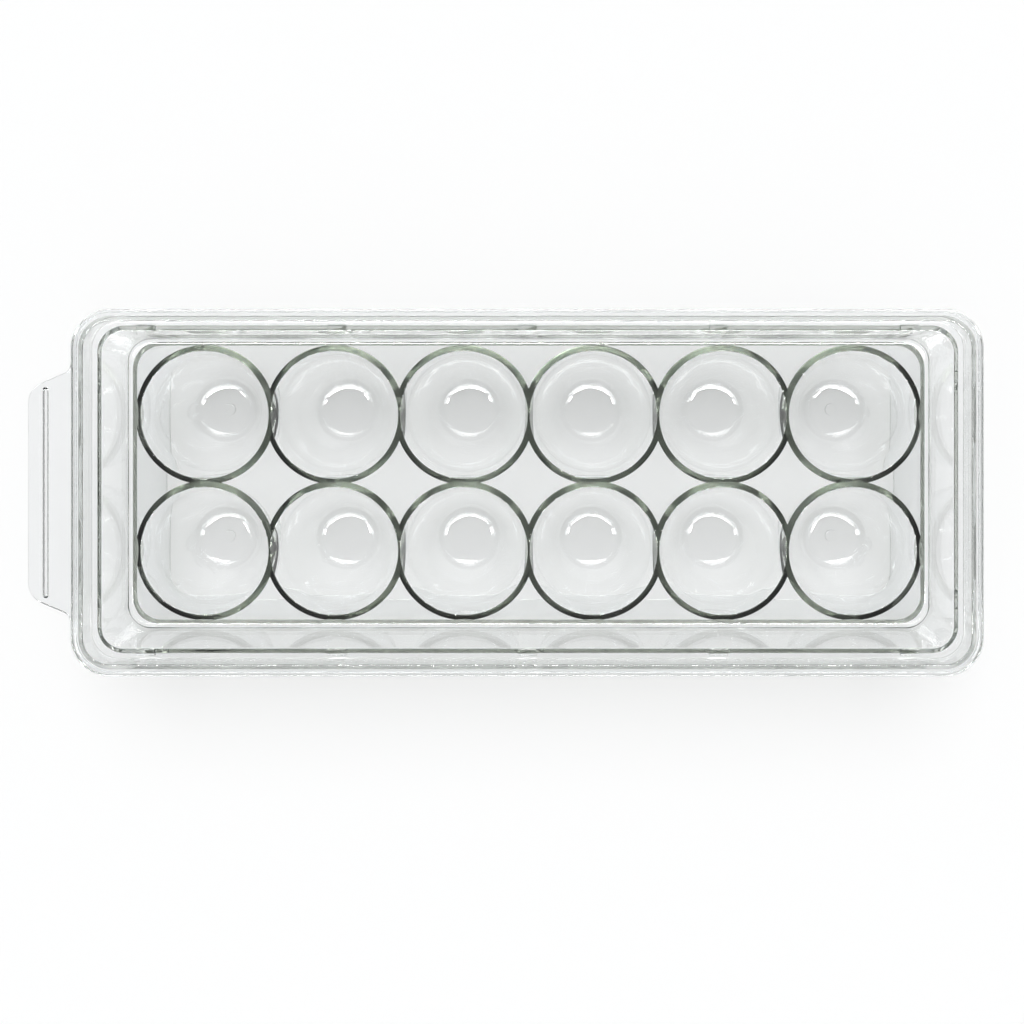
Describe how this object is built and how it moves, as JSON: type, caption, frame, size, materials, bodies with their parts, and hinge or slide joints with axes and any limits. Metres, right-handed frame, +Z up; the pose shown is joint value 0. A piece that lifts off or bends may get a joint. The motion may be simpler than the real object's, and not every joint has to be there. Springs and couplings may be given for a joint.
{
  "type": "egg tray",
  "caption": "Clear plastic egg tray for a refrigerator: two rows of deep round cups in a long box with sloping walls, a stepped rim and a flat pull handle at one end.",
  "frame": {"origin": "on the table, under the centre of the whole outline, handle included", "axes": "+Z up, -X towards the pull handle, +Y towards the back row of cups"},
  "size_m": [0.3274, 0.126, 0.071],
  "materials": {
    "clear_plastic": "clear polished moulding"
  },
  "bodies": {
    "root": {"base_skirt": "clear_plastic", "side_wall": "clear_plastic", "rim_ledge": "clear_plastic", "rim_collar": "clear_plastic", "rim_flange": "clear_plastic", "rim_lip": "clear_plastic", "deck_frame": "clear_plastic", "deck_panels": "clear_plastic", "egg_cup_front_1": "clear_plastic", "egg_cup_front_2": "clear_plastic", "egg_cup_front_3": "clear_plastic", "egg_cup_front_4": "clear_plastic", "egg_cup_front_5": "clear_plastic", "egg_cup_front_6": "clear_plastic", "egg_cup_back_1": "clear_plastic", "egg_cup_back_2": "clear_plastic", "egg_cup_back_3": "clear_plastic", "egg_cup_back_4": "clear_plastic", "egg_cup_back_5": "clear_plastic", "egg_cup_back_6": "clear_plastic", "pull_handle": "clear_plastic", "handle_grip_rib": "clear_plastic", "ledge_lugs": "clear_plastic", "gate_pips": "clear_plastic"}
  },
  "joints": []
}
